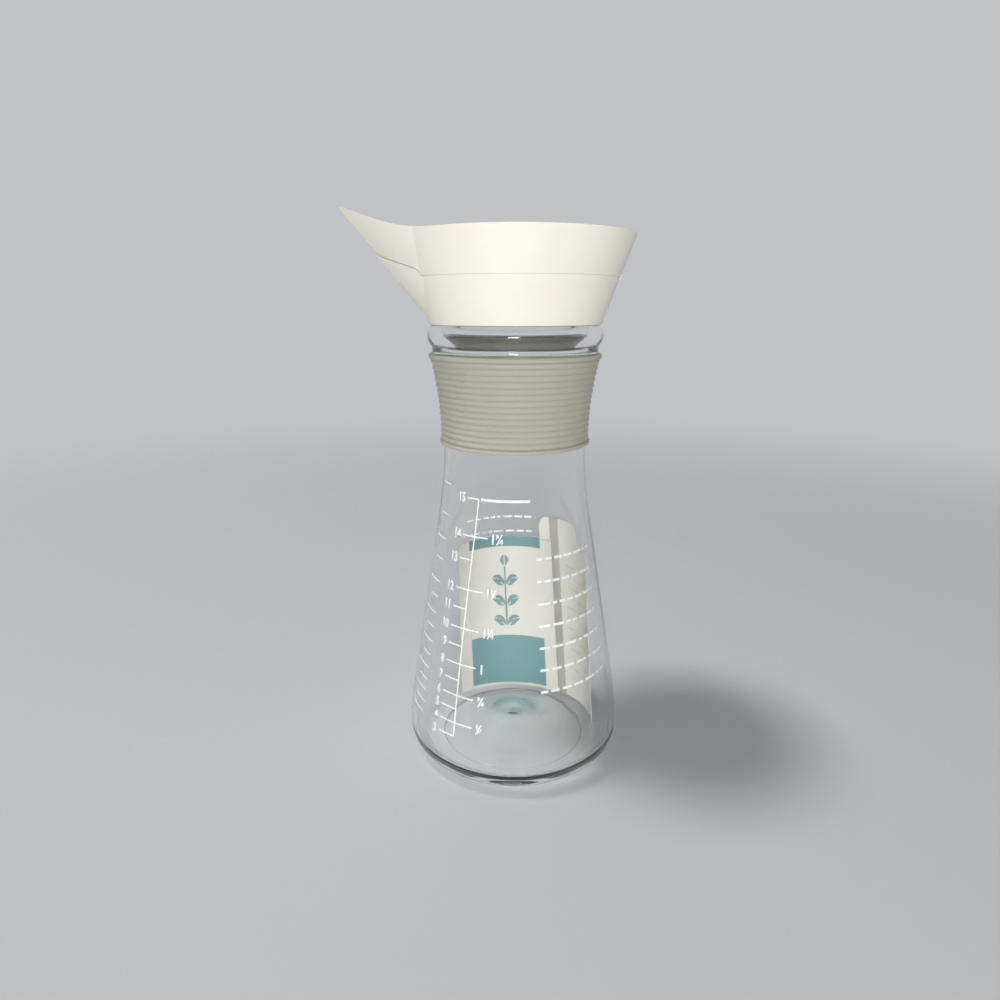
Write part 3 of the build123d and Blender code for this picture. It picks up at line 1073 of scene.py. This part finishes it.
@dataclass
class Moulding:
    """White moulding of the lid, as the frame has it but with its face at the seam set closer.

    Turns are measured from the spout's direction, in degrees, alike on both sides.
    """

    name: str
    node: str
    seam: float
    move: float
    inner: float = 0.030
    level: float = 0.00002
    turn_start: float = 26.0
    turn_end: float = 168.0
    turn_fade: float = 8.0
    sharp: float = 30.0
    crease_turns: Span = (15.0, 43.0)
    crease_angle: float = 7.0

    def build(self) -> bpy.types.Object:
        """Copy and merge the frame's mesh and slide its face at the seam along the cone."""
        Bench.deselect()
        piece = bpy.data.objects.new(self.name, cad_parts[self.node].data.copy())
        piece.data.name = self.name
        bpy.context.scene.collection.objects.link(piece)
        Bench.edit(piece)
        Bench.seal()
        for vertex in piece.data.vertices:
            place = vertex.co.copy()
            if abs(place.z - self.seam) < self.level and place.xy.length > self.inner:
                turn = self.turn(place)
                near = min(turn - self.turn_start, self.turn_end - turn)
                move = self.move * min(max(near / self.turn_fade, 0.0), 1.0)
                spread = 1 + move * math.tan(CONE_LEAN) / place.xy.length
                vertex.co = Vector((place.x * spread, place.y * spread, place.z + move))
        Bench.take(piece)
        bpy.ops.mesh.customdata_custom_splitnormals_clear()
        Bench.smooth(piece, self.sharp)
        self.crisp(piece)
        return piece

    @staticmethod
    def turn(place: Vector) -> float:
        """Turn of a place about the axis."""
        return math.degrees(math.atan2(abs(place.y), -place.x))

    def crisp(self, piece: bpy.types.Object) -> None:
        """Keep the creases between the spout and the cone sharp, also where they fade out."""
        sides = {}
        for face in piece.data.polygons:
            for key in face.edge_keys:
                sides.setdefault(key, []).append(face.normal)
        low, high = self.crease_turns
        for edge in piece.data.edges:
            middle = sum((piece.data.vertices[index].co for index in edge.vertices), Vector()) / 2
            first, second = sides[edge.key]
            if low < self.turn(middle) < high and middle.xy.length > self.inner:
                if math.degrees(first.angle(second)) > self.crease_angle:
                    edge.use_edge_sharp = True


@dataclass
class FilmHinge:
    """Thin flexible web across the seam opposite the spout; on the real lid it bends as the lid flips."""

    seam: Vector = field(default_factory=lambda: Vector((0.0397386, 0.0, 0.1982)))
    half_width: float = 0.0058
    half_height: float = 0.0008
    web: float = 0.0003
    proud: float = 0.00007
    rows: int = 12
    columns: int = 12
    sharp: float = 60.0

    def build(self) -> bpy.types.Object:
        """Draw the strip up the cone's slope, then across, round the cone and into thickness."""
        along = Vector((math.sin(CONE_LEAN), 0, math.cos(CONE_LEAN))) * self.half_height
        outward = Vector((math.cos(CONE_LEAN), 0, -math.sin(CONE_LEAN))) * (self.proud - self.web / 2)
        start = self.seam - along + outward + Vector((0, -self.half_width, 0))
        path = [start + along * 2 * index / self.rows for index in range(self.rows + 1)]
        piece = Bench.chain("film_hinge", path)
        Bench.extrude(Vector((0, 2 * self.half_width / self.columns, 0)), self.columns)
        Bench.seal()
        for vertex in piece.data.vertices:
            vertex.co.x += math.sqrt(self.seam.x ** 2 - vertex.co.y ** 2) - self.seam.x
        Bench.thicken(piece, self.web)
        Bench.smooth(piece, self.sharp)
        return piece

    def bend(self, strip: bpy.types.Object, material: bpy.types.Material) -> None:
        """Give the strip its finish and bake its placement, across the seam between the collar and the lid,
        into its mesh.
        """
        strip.data.materials.append(material)
        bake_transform(strip)


@dataclass(frozen=True)
class Lamp:
    """One soft square lamp: where it hangs, its width and its output in watts."""

    name: str
    spot: tuple[float, float, float]
    size: float
    power: float

    def hang(self, aim: Vector) -> None:
        """Hang the lamp so that it faces a point."""
        data = bpy.data.lights.new(self.name, "AREA")
        data.shape = "SQUARE"
        data.size = self.size
        data.energy = self.power
        lamp = bpy.data.objects.new(self.name, data)
        lamp.location = self.spot
        lamp.rotation_euler = (aim - Vector(self.spot)).to_track_quat("-Z", "Y").to_euler()
        bpy.context.scene.collection.objects.link(lamp)


@dataclass
class Studio:
    """Pale sweep, soft lamps and the camera of the photograph's view."""

    lens: float = 24.9
    sensor: float = 36.0
    near_clip: float = 0.01
    eye: Vector = field(default_factory=lambda: Vector((-0.0059, -0.278, 0.18704)))
    pitch: float = 74.52
    floor_half: float = 1.6
    back: float = 1.1
    wall_height: float = 1.9
    bend: float = 0.5
    bend_steps: int = 16
    sharp: float = 60.0
    aim: Vector = field(default_factory=lambda: Vector((0, 0, 0.12)))
    lamps: tuple[Lamp, ...] = (Lamp("key_softbox", (-0.12, -2.2, 0.5), 0.45, 34.0),
                               Lamp("top_softbox", (-0.62, 0.0, 1.8), 0.3, 17.0))
    room_colour: Colour = linear(225, 226, 228)
    room_light: float = 0.3

    def camera(self) -> None:
        """Place the camera."""
        data = bpy.data.cameras.new("studio_camera")
        data.lens = self.lens
        data.sensor_width = self.sensor
        data.clip_start = self.near_clip
        camera = bpy.data.objects.new("studio_camera", data)
        camera.location = self.eye
        camera.rotation_euler = (math.radians(self.pitch), 0.0, 0.0)
        bpy.context.scene.collection.objects.link(camera)
        bpy.context.scene.camera = camera

    def sweep(self) -> None:
        """Floor that bends up into the backdrop."""
        profile = [Vector((-self.floor_half, -self.floor_half, 0))]
        for index in range(self.bend_steps + 1):
            turn = math.pi / 2 * index / self.bend_steps
            profile.append(Vector((-self.floor_half, self.back + self.bend * math.sin(turn),
                                   self.bend * (1 - math.cos(turn)))))
        profile.append(Vector((-self.floor_half, self.back + self.bend, self.wall_height)))
        piece = Bench.chain("studio_sweep", profile)
        Bench.extrude(Vector((2 * self.floor_half, 0, 0)))
        Bench.seal()
        Bench.smooth(piece, self.sharp)
        piece.data.materials.append(Floor().build())

    def light(self) -> None:
        """Hang the lamps and set the even light round them."""
        for lamp in self.lamps:
            lamp.hang(self.aim)
        room = ShaderTree.world("studio_room")
        light, even = (room.node("ShaderNodeBackground", inputs={"Color": colour, "Strength": strength})
                       for colour, strength in ((self.room_colour, self.room_light),
                                                (Floor().far_colour, 1.0)))
        bpy.context.scene.world = room.finish(room.mix(room.seen(), light, even))

    def build(self) -> None:
        """Set up the whole studio."""
        bpy.context.scene.view_settings.view_transform = "Standard"
        self.camera()
        self.sweep()
        self.light()


def main() -> None:
    """Build the studio, then each sub-assembly, and dress the frame's nodes."""
    logging.basicConfig(level=logging.INFO, format="%(name)s: %(message)s")
    Studio().build()
    clear = ClearPlastic().build()
    white = WHITE_PLASTIC.build()
    seal = SEAL_SILICONE.build()
    bottle = Bottle()
    Bench.dress(bottle.build(), clear, Body.BOTTLE, Slot.CLEAR, "bottle")
    Bench.dress(NeckThread(bottle).build(), clear, Body.BOTTLE, Slot.CLEAR)
    sleeve = GripSleeve(bottle)
    Bench.dress(sleeve.build(), GRIP_SILICONE.build(), Body.BOTTLE, Slot.GRIP, "grip_sleeve")
    leaflet = Leaflet(bottle.floor)
    Bench.dress(leaflet.build(), LeafletPaper().build(), Body.BOTTLE, Slot.PAPER, "recipe_leaflet")
    ink = PRINT_INK.build()
    for piece in VolumePrint(bottle).build():
        Bench.dress(piece, ink, Body.BOTTLE, Slot.WHITE)
    hinge = FilmHinge()
    hinge.bend(hinge.build(), white)
    lower = Moulding("pouring_collar", "spout_collar", seam=0.1981, move=0.00007)
    Bench.dress(lower.build(), white, Body.COLLAR, Slot.WHITE, lower.node)
    upper = Moulding("beaked_lid", "flip_lid", seam=0.1983, move=-0.00007)
    Bench.dress(upper.build(), white, Body.LID, Slot.WHITE, upper.node)
    for name in ("plug_seal", "neck_gasket"):
        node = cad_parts[name]
        node.data.materials.clear()
        node.data.materials.append(seal)


if __name__ == "__main__":
    main()
